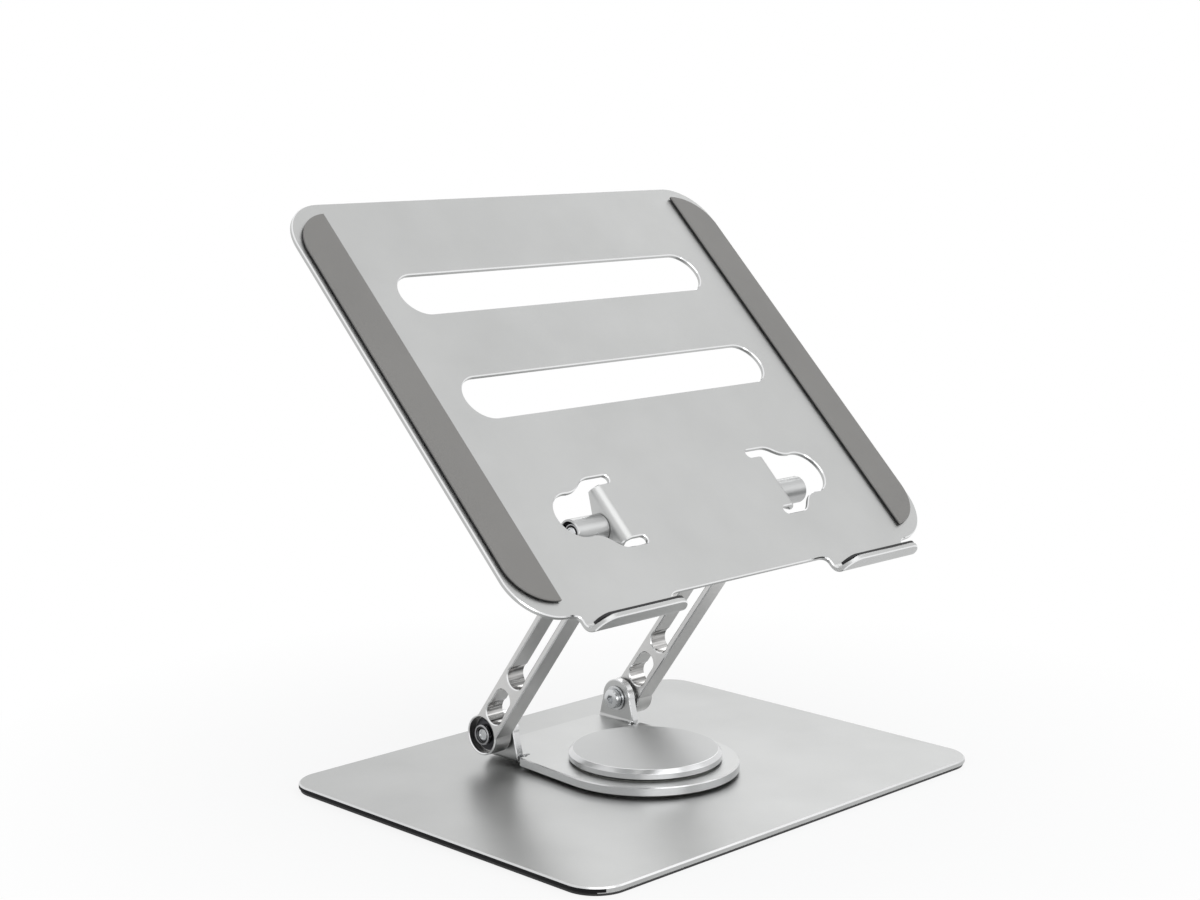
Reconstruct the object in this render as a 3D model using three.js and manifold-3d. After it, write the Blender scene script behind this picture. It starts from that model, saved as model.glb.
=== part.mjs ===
// Folding laptop stand on a turning base.
// A flat base carries a round pivot. The swivel plate turns on it and has two ears bent up at its back.
// Two arms swing on the ears, and the tray tilts on two tabs that are bent down from its own sheet.
// Millimetres, +Z up. The origin is on the turning axis, at the height of the surface the stand is on.
// +Y points away from the user, so the tray's low edge with the two lips is at -Y.

import * as THREE from "three";
import { mergeVertices } from "three/addons/utils/BufferGeometryUtils.js";
import Module from "manifold-3d";

const wasm = await Module();
wasm.setup();

// How far a facet may stand off its true circle, the overrun of every cut, and the clearances of all fits
const roundness = 0.08;
const coarsestShare = 0.3;
const curveSteps = 5;
const hexagonSides = 6;
const overrun = 2;
const seatGap = 0.3;
const boltClearance = 0.3;

// Base plate and the rubber mat under it
const baseWidth = 270;
const baseDepth = 212;
const baseCentreY = 5;
const baseCornerRadius = 17;
const baseThickness = 3;
const baseChamfer = 0.7;
const matThickness = 1;
const matInset = 0.8;

// Pivot: hub, slide rings, cap and the screws that hold them together
const hubRadius = 14;
const hubBoreRadius = 5;
const lowerRingOuter = 38;
const lowerRingInner = 20;
const lowerRingThickness = 1;
const upperRingOuter = 35;
const upperRingInner = 18;
const upperRingThickness = 0.7;
const capRadius = 37.5;
const capThickness = 4.7;
const capChamfer = 2;
const pivotScrewCount = 4;
const pivotScrewCircle = 9.5;
const pivotScrewRadius = 1.5;
const pivotScrewHeadRadius = 2.9;
const pivotScrewHeadHeight = 1.5;
const pivotScrewBite = 3.4;

// Swivel plate and its two ears
const sheetThickness = 4.5;
const swivelRadius = 46;
const swivelBackMargin = 2;
const swivelChamfer = 0.8;
const earOuterX = 43;
const earBendRadius = 1.5;
const earHalfLength = 12;
const earRadius = 9.7;
const earReliefRadius = 2;
const lowerAxisY = 58;
const lowerAxisHeight = 17;

// Arms
const armLean = THREE.MathUtils.degToRad(36.5);
const armLength = 144;
const armThickness = 11;
const armHalfWidth = 8;
const armFootRadius = 10.1;
const armHeadRadius = 6.6;
const armTaperLength = 24;
const armChamfer = 0.5;
const armLowHole = 16;
const armHighHole = 41.5;
const armHoleRadius = 5.6;
const armSlotHalfWidth = 5.1;
const armShortSlotTop = 31;
const armSlotHeadMargin = 26;
const armRecessRadius = 9;
const armRecessDepth = 5;

// Hinge hardware, the same sizes at all four pivots
const boltRadius = 3;
const boltHeadRadius = 5;
const boltHeadHeight = 3;
const boltHeadRound = 1;
const socketRadius = 2.3;
const socketDepth = 1.8;
const boltPointChamfer = 0.6;
const flatWasherRadius = 6.3;
const flatWasherThickness = 0.8;
const frictionWasherRadius = 8;
const frictionWasherThickness = 0.8;
const upperFrictionWasherRadius = 6;
const recessWasherRadius = 8.2;
const springRadius = 6.6;
const springThickness = 0.5;
const springCone = 0.45;
const springPitch = 1.3;
const nutRadius = 5.2;
const nutThickness = 2.2;
const nutCollarHeight = 0.8;
const nutFlatsShare = 0.9;
const boltEndInset = 0.9;

// Tray sheet
const tilt = THREE.MathUtils.degToRad(44.8);
const trayWidth = 280;
const trayDepth = 237;
const trayThickness = 2.5;
const trayCornerRadius = 24;
const trayChamfer = 0.5;
const trayAxisFromFront = 45;
const trayAxisDepth = 10.5;
const ventSideMargin = 40;
const ventHeight = 24;
const rearVentFromFront = 179;
const frontVentFromFront = 117;

// Tabs bent down from the tray, and the cut-outs that they leave
const tabBendRadius = 2.5;
const tabFront = 31.5;
const tabBack = 61.5;
const tabRadius = 7.4;
const reliefRadius = 2.25;
const reliefReach = 4.5;
const notchRadius = 12;
const notchCentreX = 78.5;
const notchCentreFromFront = 48;
const notchNeckX = 67;
const notchNeckAngle = THREE.MathUtils.degToRad(100);

// Barrels outside the tabs
const barrelRadius = 6.6;
const barrelBoreRadius = 5.5;
const barrelLength = 19;
const barrelFloor = 2;
const barrelSpringCount = 4;
const barrelSpringRadius = 5.1;
const barrelNutRadius = 4.6;
const barrelNutInset = 1.6;

// Front lips and their rubber facings
const lipWidth = 56;
const lipEndMargin = 29;
const lipReach = 11;
const lipInnerRadius = 4;
const lipRise = 11;
const lipCornerRadius = 9;
const lipRootFillet = 6;
const lipPadThickness = 1.3;
const lipPadMargin = 1.2;
const lipPadFoot = 2.9;
const lipPadCornerRadius = 6;

// Side pads
const padWidth = 20.5;
const padMargin = 2.5;
const padFrontMargin = 7.5;
const padBackMargin = 7.5;
const padThickness = 1.6;
const padChamfer = 0.4;

// Heights and places that follow from the sizes above
const baseBottom = matThickness;
const baseTop = baseBottom + baseThickness;
const swivelBottom = baseTop + lowerRingThickness + seatGap;
const swivelTop = swivelBottom + sheetThickness;
const capBottom = swivelTop + seatGap + upperRingThickness;
const lowerAxisZ = baseTop + lowerAxisHeight;
const earInnerX = earOuterX - sheetThickness;
const armInnerX = earOuterX + frictionWasherThickness + 2 * seatGap;
const armOuterX = armInnerX + armThickness;
const tabInnerX = armOuterX + frictionWasherThickness + 2 * seatGap;
const tabOuterX = tabInnerX + trayThickness;
const barrelInnerX = tabOuterX + seatGap;
const barrelOuterX = barrelInnerX + barrelLength;
const boltHoleRadius = boltRadius + boltClearance;
const tabBendOuterRadius = tabBendRadius + trayThickness;
const tabBendStartX = tabOuterX - tabBendOuterRadius;
const lipCentreX = trayWidth / 2 - lipEndMargin - lipWidth / 2;

// Finishes
const finishes = {
  aluminium: { color: 0xc6c8c9, roughness: 0.36, metalness: 0.9 },
  steel: { color: 0xb9bbbd, roughness: 0.28, metalness: 1 },
  darkSteel: { color: 0x3c3e40, roughness: 0.45, metalness: 0.9 },
  rubber: { color: 0x16171a, roughness: 0.85, metalness: 0 },
  greyRubber: { color: 0x7b7a78, roughness: 0.8, metalness: 0 },
  slidePlastic: { color: 0xe9e9e4, roughness: 0.5, metalness: 0 },
};

// Angle between two facets of a circle
function facetAngle(radius) {
  return 2 * Math.acos(1 - Math.min(roundness / radius, coarsestShare));
}

function facetCount(radius) {
  return 4 * Math.ceil(Math.PI / 2 / facetAngle(radius));
}

function arcPoint(x, y, radius, angle) {
  return [x + radius * Math.cos(angle), y + radius * Math.sin(angle)];
}

// Adds an arc to a path as facets, from one angle to another
function arc(path, x, y, radius, from, to) {
  const steps = Math.max(2, Math.ceil(Math.abs(to - from) / facetAngle(radius)));
  for (let i = 0; i <= steps; i += 1) {
    path.lineTo(...arcPoint(x, y, radius, from + (to - from) * i / steps));
  }
}

// Begins a path at the start of its first arc
function beginArc(path, x, y, radius, from, to) {
  path.moveTo(...arcPoint(x, y, radius, from));
  arc(path, x, y, radius, from, to);
}

// Solids

function signedVolume(geometry) {
  const position = geometry.attributes.position;
  const index = geometry.index;
  const corners = [new THREE.Vector3(), new THREE.Vector3(), new THREE.Vector3()];
  let total = 0;
  for (let i = 0; i < index.count; i += 3) {
    corners.forEach((corner, k) => corner.fromBufferAttribute(position, index.getX(i + k)));
    total += corners[0].dot(corners[1].cross(corners[2]));
  }
  return total;
}

// A closed body with merged vertices and its faces pointing out
function closed(geometry) {
  const bare = geometry.index ? geometry.clone() : mergeVertices(geometry.clone());
  bare.deleteAttribute("normal");
  bare.deleteAttribute("uv");
  const body = mergeVertices(bare);
  if (signedVolume(body) < 0) {
    const index = body.index;
    for (let i = 0; i < index.count; i += 3) {
      const first = index.getX(i);
      index.setX(i, index.getX(i + 1));
      index.setX(i + 1, first);
    }
  }
  return body;
}

function toManifold(geometry) {
  const body = closed(geometry);
  const vertProperties = new Float32Array(body.attributes.position.array);
  const triVerts = new Uint32Array(body.index.array);
  return new wasm.Manifold(new wasm.Mesh({ numProp: 3, vertProperties, triVerts }));
}

function fromManifold(manifold) {
  const mesh = manifold.getMesh();
  const geometry = new THREE.BufferGeometry();
  geometry.setAttribute("position", new THREE.BufferAttribute(new Float32Array(mesh.vertProperties), 3));
  geometry.setIndex(new THREE.BufferAttribute(new Uint32Array(mesh.triVerts), 1));
  return geometry;
}

function join(...geometries) {
  return fromManifold(geometries.map(toManifold).reduce((a, b) => a.add(b)));
}

function cut(geometry, ...tools) {
  return fromManifold(tools.map(toManifold).reduce((a, b) => a.subtract(b), toManifold(geometry)));
}

function common(first, second) {
  return fromManifold(toManifold(first).intersect(toManifold(second)));
}

// An outline in the XY plane, raised from z = low by height, with its rims chamfered
function raised(shape, low, height, chamfer = 0) {
  const geometry = new THREE.ExtrudeGeometry(shape, {
    depth: height - 2 * chamfer,
    bevelEnabled: chamfer > 0,
    bevelThickness: chamfer,
    bevelSize: chamfer,
    bevelOffset: -chamfer,
    bevelSegments: 1,
    curveSegments: curveSteps,
  });
  return geometry.translate(0, 0, low + chamfer);
}

// An outline drawn in the YZ plane (first coordinate Y, second Z), thick along X from x = low
function sideways(shape, low, thickness, chamfer = 0) {
  const turn = new THREE.Matrix4().makeBasis(
    new THREE.Vector3(0, 1, 0),
    new THREE.Vector3(0, 0, 1),
    new THREE.Vector3(1, 0, 0),
  );
  return raised(shape, low, thickness, chamfer).applyMatrix4(turn);
}

// An outline drawn in the XZ plane (first coordinate X, second Z), long along Y from y = low
function lengthways(shape, low, length) {
  const turn = new THREE.Matrix4().makeBasis(
    new THREE.Vector3(1, 0, 0),
    new THREE.Vector3(0, 0, 1),
    new THREE.Vector3(0, -1, 0),
  );
  return raised(shape, -low - length, length).applyMatrix4(turn);
}

// A body turned about Z; points are [radius, height] along its outline
function turned(points, sides = 0) {
  const facets = sides || facetCount(Math.max(...points.map(([radius]) => radius)));
  const profile = points.map(([radius, height]) => new THREE.Vector2(radius, height));
  return new THREE.LatheGeometry(profile, facets).rotateX(Math.PI / 2);
}

// The same, turned about X: height runs along +X
function turnedAlongX(points, sides = 0) {
  return turned(points, sides).rotateY(Math.PI / 2);
}

function ringPoints(outer, inner, low, height) {
  return [[inner, low], [outer, low], [outer, low + height], [inner, low + height], [inner, low]];
}

function rodPoints(radius, low, high) {
  return [[0, low], [radius, low], [radius, high], [0, high]];
}

// A rectangle with a radius for each corner, from the low left one round to the high left one; zero is square
function roundedRectangle(left, low, right, high, radii) {
  const [lowLeft, lowRight, highRight, highLeft] = radii;
  const shape = new THREE.Shape();
  const corner = (x, y, radius, start) => {
    if (radius > 0) {
      arc(shape, x, y, radius, start, start + Math.PI / 2);
    } else {
      shape.lineTo(x, y);
    }
  };
  shape.moveTo(left + lowLeft, low);
  corner(right - lowRight, low + lowRight, lowRight, -Math.PI / 2);
  corner(right - highRight, high - highRight, highRight, 0);
  corner(left + highLeft, high - highLeft, highLeft, Math.PI / 2);
  if (lowLeft > 0) {
    corner(left + lowLeft, low + lowLeft, lowLeft, Math.PI);
  }
  return shape;
}

// Scene graph

function part(name, geometry, finish, parent) {
  const mesh = new THREE.Mesh(geometry, new THREE.MeshStandardMaterial(finishes[finish]));
  mesh.name = name;
  parent.add(mesh);
  return mesh;
}

// A right-hand piece and its mirror image on the left; sides are named as the user sees them
function partPair(name, geometry, finish, parent) {
  part(name + "_right", geometry, finish, parent);
  part(name + "_left", closed(geometry.clone().scale(-1, 1, 1)), finish, parent);
}

const stand = new THREE.Group();
const swivel = new THREE.Group();
stand.add(swivel);

// Base plate with countersunk holes under the hub
function pivotScrewPlaces() {
  return Array.from({ length: pivotScrewCount }, (_, i) => {
    const angle = (i + 0.5) * 2 * Math.PI / pivotScrewCount;
    return [pivotScrewCircle * Math.cos(angle), pivotScrewCircle * Math.sin(angle)];
  });
}

function baseOutline(inset, radius) {
  const halfWidth = baseWidth / 2 - inset;
  const halfDepth = baseDepth / 2 - inset;
  const front = baseCentreY - halfDepth;
  const back = baseCentreY + halfDepth;
  return roundedRectangle(-halfWidth, front, halfWidth, back, [radius, radius, radius, radius]);
}

function makeBasePlate() {
  const sheet = raised(baseOutline(0, baseCornerRadius), baseBottom, baseThickness, baseChamfer);
  const holeRadius = pivotScrewRadius + boltClearance;
  const sinkRadius = pivotScrewHeadRadius + boltClearance;
  const sinkTop = baseBottom + pivotScrewHeadHeight + boltClearance;
  const holes = pivotScrewPlaces().map(([x, y]) => turned([
    [0, baseBottom - overrun],
    [sinkRadius, baseBottom - overrun],
    [sinkRadius, baseBottom],
    [holeRadius, sinkTop],
    [holeRadius, baseTop + overrun],
    [0, baseTop + overrun],
  ]).translate(x, y, 0));
  return cut(sheet, ...holes);
}

part("base_plate", makeBasePlate(), "aluminium", stand);
part("base_mat", raised(baseOutline(matInset, baseCornerRadius - matInset), 0, matThickness), "rubber", stand);

// Pivot on the base: hub, two slide rings, cap and screws
function pivotScrewHole(radius, low, high, x, y) {
  return turned(rodPoints(radius, low, high)).translate(x, y, 0);
}

function makeHub() {
  const blank = turned(ringPoints(hubRadius, hubBoreRadius, baseTop, capBottom - baseTop));
  const radius = pivotScrewRadius + boltClearance;
  const holes = pivotScrewPlaces().map(([x, y]) =>
    pivotScrewHole(radius, baseTop - overrun, capBottom + overrun, x, y));
  return cut(blank, ...holes);
}

function makeCap() {
  const top = capBottom + capThickness;
  const blank = turned([
    [0, capBottom],
    [capRadius, capBottom],
    [capRadius, top - capChamfer],
    [capRadius - capChamfer, top],
    [0, top],
  ]);
  const radius = pivotScrewRadius + boltClearance;
  const holes = pivotScrewPlaces().map(([x, y]) =>
    pivotScrewHole(radius, capBottom - overrun, capBottom + pivotScrewBite + seatGap, x, y));
  return cut(blank, ...holes);
}

function makePivotScrew(x, y) {
  const tip = capBottom + pivotScrewBite;
  const headTop = baseBottom + pivotScrewHeadHeight;
  return turned([
    [0, baseBottom + seatGap],
    [pivotScrewHeadRadius, baseBottom + seatGap],
    [pivotScrewRadius, headTop],
    [pivotScrewRadius, tip],
    [0, tip],
  ]).translate(x, y, 0);
}

part("pivot_hub", makeHub(), "steel", stand);
part("lower_slide_ring", turned(ringPoints(lowerRingOuter, lowerRingInner, baseTop, lowerRingThickness)),
  "slidePlastic", stand);
part("upper_slide_ring",
  turned(ringPoints(upperRingOuter, upperRingInner, capBottom - upperRingThickness, upperRingThickness)),
  "slidePlastic", stand);
part("pivot_cap", makeCap(), "aluminium", stand);
pivotScrewPlaces().forEach(([x, y], i) => part("pivot_screw_" + (i + 1), makePivotScrew(x, y), "steel", stand));

// Swivel plate: a round front, sides that run back to the ears, and the two bent-up ears
function swivelOutline() {
  const earFront = lowerAxisY - earHalfLength;
  const earBack = lowerAxisY + earHalfLength + swivelBackMargin;
  const cornerAngle = Math.atan2(earFront, earOuterX);
  const touch = cornerAngle - Math.acos(swivelRadius / Math.hypot(earOuterX, earFront));
  const shape = new THREE.Shape();
  shape.moveTo(earOuterX - earBendRadius - sheetThickness, earBack);
  shape.lineTo(-earOuterX + earBendRadius + sheetThickness, earBack);
  shape.lineTo(-earOuterX + earBendRadius + sheetThickness, earFront + earReliefRadius);
  shape.lineTo(-earOuterX, earFront);
  arc(shape, 0, 0, swivelRadius, Math.PI - touch, 2 * Math.PI + touch);
  shape.lineTo(earOuterX, earFront);
  shape.lineTo(earOuterX - earBendRadius - sheetThickness, earFront + earReliefRadius);
  return shape;
}

// The ear's section across X: flat sheet, bend, upright
function earSection() {
  const outer = earBendRadius + sheetThickness;
  const bendX = earOuterX - outer;
  const top = lowerAxisZ + earRadius + overrun;
  const root = bendX - overrun;
  const shape = new THREE.Shape();
  shape.moveTo(root, swivelBottom);
  shape.lineTo(bendX, swivelBottom);
  arc(shape, bendX, swivelBottom + outer, outer, -Math.PI / 2, 0);
  shape.lineTo(earOuterX, top);
  shape.lineTo(earInnerX, top);
  shape.lineTo(earInnerX, swivelTop + earBendRadius);
  arc(shape, bendX, swivelTop + earBendRadius, earBendRadius, 0, -Math.PI / 2);
  shape.lineTo(root, swivelTop);
  return shape;
}

// The ear seen from the side: straight flanks that lean in to a round top about the axis
function earSide() {
  const shape = new THREE.Shape();
  const front = lowerAxisY - earHalfLength;
  const back = lowerAxisY + earHalfLength;
  shape.moveTo(front, swivelBottom - overrun);
  shape.lineTo(back, swivelBottom - overrun);
  shape.lineTo(back, swivelTop + earBendRadius);
  arc(shape, lowerAxisY, lowerAxisZ, earRadius, 0, Math.PI);
  shape.lineTo(front, swivelTop + earBendRadius);
  return shape;
}

function makeSwivelPlate() {
  const flat = raised(swivelOutline(), swivelBottom, sheetThickness, swivelChamfer);
  const front = lowerAxisY - earHalfLength;
  const bent = lengthways(earSection(), front - overrun, 2 * (earHalfLength + overrun));
  const rightEar = common(bent, sideways(earSide(), earInnerX - sheetThickness - overrun - earBendRadius,
    2 * sheetThickness + 2 * overrun + earBendRadius));
  const leftEar = closed(rightEar.clone().scale(-1, 1, 1));
  const bore = turned(rodPoints(hubRadius + seatGap, swivelBottom - overrun, swivelTop + overrun));
  const reliefX = earInnerX - earBendRadius + earReliefRadius / 2;
  const relief = [-reliefX, reliefX].map((x) => turned(
    rodPoints(earReliefRadius, swivelBottom - overrun, swivelTop + overrun + earBendRadius),
  ).translate(x, front, 0));
  const axleHole = turnedAlongX(rodPoints(boltHoleRadius, -earOuterX - overrun, earOuterX + overrun))
    .translate(0, lowerAxisY, lowerAxisZ);
  return cut(join(flat, rightEar, leftEar), bore, axleHole, ...relief);
}

part("swivel_plate", makeSwivelPlate(), "aluminium", swivel);

// Hinge hardware. Each piece is drawn on the right-hand side, along +X from its inner end
function makeBolt(headX, endX) {
  const blank = turnedAlongX([
    [0, headX],
    [boltHeadRadius - boltHeadRound, headX],
    [boltHeadRadius, headX + boltHeadRound],
    [boltHeadRadius, headX + boltHeadHeight],
    [boltRadius, headX + boltHeadHeight],
    [boltRadius, endX - boltPointChamfer],
    [boltRadius - boltPointChamfer, endX],
    [0, endX],
  ]);
  const socket = turnedAlongX(rodPoints(socketRadius, headX - overrun, headX + socketDepth), hexagonSides);
  return cut(blank, socket);
}

function makeWasher(outer, lowX, thickness) {
  return turnedAlongX(ringPoints(outer, boltHoleRadius, lowX, thickness));
}

// A disc spring: a coned ring, its narrow end towards the bolt's head
function makeDiscSpring(outer, x) {
  return turnedAlongX([
    [boltHoleRadius, x + springCone],
    [outer, x],
    [outer, x + springThickness],
    [boltHoleRadius, x + springCone + springThickness],
    [boltHoleRadius, x + springCone],
  ]);
}

// Lock nut: six flats, a turned collar at its outer end, and a bore over the bolt
function makeNut(radius, lowX) {
  const highX = lowX + nutThickness;
  const hexagon = turnedAlongX(rodPoints(radius, lowX, highX - nutCollarHeight), hexagonSides);
  const collar = turnedAlongX(rodPoints(radius * nutFlatsShare, lowX + nutCollarHeight, highX));
  const bore = turnedAlongX(rodPoints(boltHoleRadius, lowX - overrun, highX + overrun));
  return cut(join(hexagon, collar), bore);
}

const springHeight = springCone + springThickness;

// Lower hinges: bolt head inside the ear, spring and nut sunk in the arm's outer face
const lowerHinge = new THREE.Group();
lowerHinge.position.set(0, lowerAxisY, lowerAxisZ);
swivel.add(lowerHinge);

const headWasherX = earInnerX - seatGap - flatWasherThickness;
const recessFloorX = armOuterX - armRecessDepth;
const recessWasherX = recessFloorX + seatGap;
const footSpringX = recessWasherX + flatWasherThickness + seatGap;
const footNutX = footSpringX + springHeight + seatGap;

partPair("lower_hinge_bolt", makeBolt(headWasherX - seatGap - boltHeadHeight, armOuterX - boltEndInset),
  "steel", lowerHinge);
partPair("lower_head_washer", makeWasher(flatWasherRadius, headWasherX, flatWasherThickness), "steel", lowerHinge);
partPair("lower_friction_washer",
  makeWasher(frictionWasherRadius, earOuterX + seatGap, frictionWasherThickness), "darkSteel", lowerHinge);
partPair("lower_recess_washer",
  makeWasher(recessWasherRadius, recessWasherX, flatWasherThickness), "darkSteel", lowerHinge);
partPair("lower_disc_spring", makeDiscSpring(springRadius, footSpringX), "darkSteel", lowerHinge);
partPair("lower_lock_nut", makeNut(nutRadius, footNutX), "steel", lowerHinge);

// Arms: drawn upright from the lower axis, then leaned forward by their group
const arms = new THREE.Group();
arms.position.set(0, lowerAxisY, lowerAxisZ);
arms.rotation.x = armLean;
swivel.add(arms);

function keyhole(low, top) {
  const drop = Math.acos(armSlotHalfWidth / armHoleRadius);
  const hole = new THREE.Path();
  beginArc(hole, 0, low, armHoleRadius, Math.PI - drop, 2 * Math.PI + drop);
  arc(hole, 0, top - armSlotHalfWidth, armSlotHalfWidth, 0, Math.PI);
  return hole;
}

function armOutline() {
  const shape = new THREE.Shape();
  const footAngle = Math.acos(armHalfWidth / armFootRadius);
  beginArc(shape, 0, 0, armFootRadius, Math.PI - footAngle, 2 * Math.PI + footAngle);
  shape.lineTo(armHalfWidth, armLength - armTaperLength);
  arc(shape, 0, armLength, armHeadRadius, 0, Math.PI);
  shape.lineTo(-armHalfWidth, armLength - armTaperLength);
  shape.holes.push(keyhole(armLowHole, armShortSlotTop));
  shape.holes.push(keyhole(armHighHole, armLength - armSlotHeadMargin));
  return shape;
}

function makeArm() {
  const bar = sideways(armOutline(), armInnerX, armThickness, armChamfer);
  const lowBore = turnedAlongX(rodPoints(boltHoleRadius, armInnerX - overrun, armOuterX + overrun));
  const highBore = lowBore.clone().translate(0, 0, armLength);
  const recess = turnedAlongX(rodPoints(armRecessRadius, armOuterX - armRecessDepth, armOuterX + overrun));
  return cut(bar, lowBore, highBore, recess);
}

partPair("arm", makeArm(), "aluminium", arms);

// Upper hinges: bolt head inside the arm, its shank runs out through tab and barrel to the nut
const upperHinge = new THREE.Group();
upperHinge.position.set(0, 0, armLength);
arms.add(upperHinge);

const upperWasherX = armInnerX - seatGap - flatWasherThickness;
const barrelSpringX = barrelInnerX + barrelFloor + seatGap;
const barrelNutX = barrelOuterX - barrelNutInset - nutThickness;
const springStackX = barrelNutX - seatGap - springHeight - (barrelSpringCount - 1) * springPitch;

partPair("upper_hinge_bolt", makeBolt(upperWasherX - seatGap - boltHeadHeight, barrelOuterX - boltEndInset),
  "steel", upperHinge);
partPair("upper_head_washer", makeWasher(flatWasherRadius, upperWasherX, flatWasherThickness), "steel", upperHinge);
partPair("upper_friction_washer",
  makeWasher(upperFrictionWasherRadius, armOuterX + seatGap, frictionWasherThickness), "darkSteel", upperHinge);
for (let i = 0; i < barrelSpringCount; i += 1) {
  partPair("upper_disc_spring_" + (i + 1), makeDiscSpring(barrelSpringRadius, springStackX + i * springPitch),
    "darkSteel", upperHinge);
}
partPair("upper_lock_nut", makeNut(barrelNutRadius, barrelNutX), "steel", upperHinge);

// Spacer sleeve between the barrel's floor and the disc springs
partPair("upper_spacer_sleeve",
  makeWasher(barrelNutRadius, barrelSpringX, springStackX - seatGap - barrelSpringX), "darkSteel", upperHinge);

// Tray: drawn level about the upper axis, then tilted by its group
const tray = new THREE.Group();
tray.position.set(0, 0, armLength);
tray.rotation.x = tilt - armLean;
arms.add(tray);

const trayTop = trayAxisDepth;
const trayBottom = trayTop - trayThickness;
const trayFront = -trayAxisFromFront;

function pill(centreFromFront) {
  const radius = ventHeight / 2;
  const half = trayWidth / 2 - ventSideMargin;
  const y = trayFront + centreFromFront;
  return roundedRectangle(-half, y - radius, half, y + radius, [radius, radius, radius, radius]);
}

// The cut-out round a tab on the right: relief slots at both ends of the bend, a round outer end over the barrel
function notchOutline() {
  const front = trayFront + tabFront;
  const back = trayFront + tabBack;
  const y = trayFront + notchCentreFromFront;
  const reliefX = tabBendStartX - reliefReach;
  const reliefTop = back + 2 * reliefRadius;
  const reliefBottom = front - 2 * reliefRadius;
  const neck = arcPoint(notchCentreX, y, notchRadius, -notchNeckAngle);
  const shape = new THREE.Shape();
  beginArc(shape, reliefX, front - reliefRadius, reliefRadius, Math.PI / 2, Math.PI * 1.5);
  shape.lineTo(tabOuterX, reliefBottom);
  shape.bezierCurveTo(notchNeckX, reliefBottom, notchNeckX, y - notchRadius, ...neck);
  arc(shape, notchCentreX, y, notchRadius, -notchNeckAngle, notchNeckAngle);
  shape.bezierCurveTo(notchNeckX, y + notchRadius, notchNeckX, reliefTop, tabOuterX, reliefTop);
  arc(shape, reliefX, back + reliefRadius, reliefRadius, Math.PI / 2, Math.PI * 1.5);
  shape.lineTo(tabBendStartX, back);
  shape.lineTo(tabBendStartX, front);
  return shape;
}

// The tab's section across X: top sheet, bend, upright
function tabSection() {
  const low = -tabRadius - overrun;
  const shape = new THREE.Shape();
  const root = tabBendStartX - overrun;
  shape.moveTo(root, trayTop);
  shape.lineTo(root, trayBottom);
  shape.lineTo(tabBendStartX, trayBottom);
  arc(shape, tabBendStartX, trayBottom - tabBendRadius, tabBendRadius, Math.PI / 2, 0);
  shape.lineTo(tabInnerX, low);
  shape.lineTo(tabOuterX, low);
  shape.lineTo(tabOuterX, trayTop - tabBendOuterRadius);
  arc(shape, tabBendStartX, trayTop - tabBendOuterRadius, tabBendOuterRadius, 0, Math.PI / 2);
  return shape;
}

// The tab seen from the side: wide at the bend, round about the axis below
function tabSide() {
  const shape = new THREE.Shape();
  shape.moveTo(trayFront + tabFront, trayTop + overrun);
  shape.lineTo(trayFront + tabFront, trayBottom - tabBendRadius);
  arc(shape, 0, 0, tabRadius, Math.PI, 2 * Math.PI);
  shape.lineTo(trayFront + tabBack, trayBottom - tabBendRadius);
  shape.lineTo(trayFront + tabBack, trayTop + overrun);
  return shape;
}

// A lip's section seen from the side: the sheet runs forward and curls up
function lipSection() {
  const outer = lipInnerRadius + trayThickness;
  const bendY = trayFront - lipReach + outer;
  const bendZ = trayTop + lipInnerRadius;
  const top = trayTop + lipRise;
  const tip = trayThickness / 2;
  const shape = new THREE.Shape();
  shape.moveTo(trayFront + overrun, trayBottom);
  shape.lineTo(trayFront + overrun, trayTop);
  shape.lineTo(bendY, trayTop);
  arc(shape, bendY, bendZ, lipInnerRadius, -Math.PI / 2, -Math.PI);
  shape.lineTo(bendY - lipInnerRadius, top - tip);
  arc(shape, bendY - lipInnerRadius - tip, top - tip, tip, 0, Math.PI);
  shape.lineTo(bendY - outer, bendZ);
  arc(shape, bendY, bendZ, outer, Math.PI, Math.PI * 1.5);
  return shape;
}

// A lip seen from the front, its upper corners rounded
function lipFront() {
  const half = lipWidth / 2;
  const low = trayBottom - overrun;
  const high = trayTop + lipRise;
  return roundedRectangle(lipCentreX - half, low, lipCentreX + half, high, [0, 0, lipCornerRadius, lipCornerRadius]);
}

// Rounded roots where a lip leaves the tray's front edge
function lipRoots() {
  const roots = [-1, 1].map((side) => {
    const x = lipCentreX + side * lipWidth / 2;
    const shape = new THREE.Shape();
    shape.moveTo(x - side * overrun, trayFront + overrun);
    shape.lineTo(x - side * overrun, trayFront - lipRootFillet / 2);
    shape.lineTo(x, trayFront - lipRootFillet / 2);
    shape.quadraticCurveTo(x, trayFront, x + side * lipRootFillet, trayFront);
    shape.lineTo(x + side * lipRootFillet, trayFront + overrun);
    return raised(shape, trayBottom, trayThickness);
  });
  return join(...roots);
}

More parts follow.
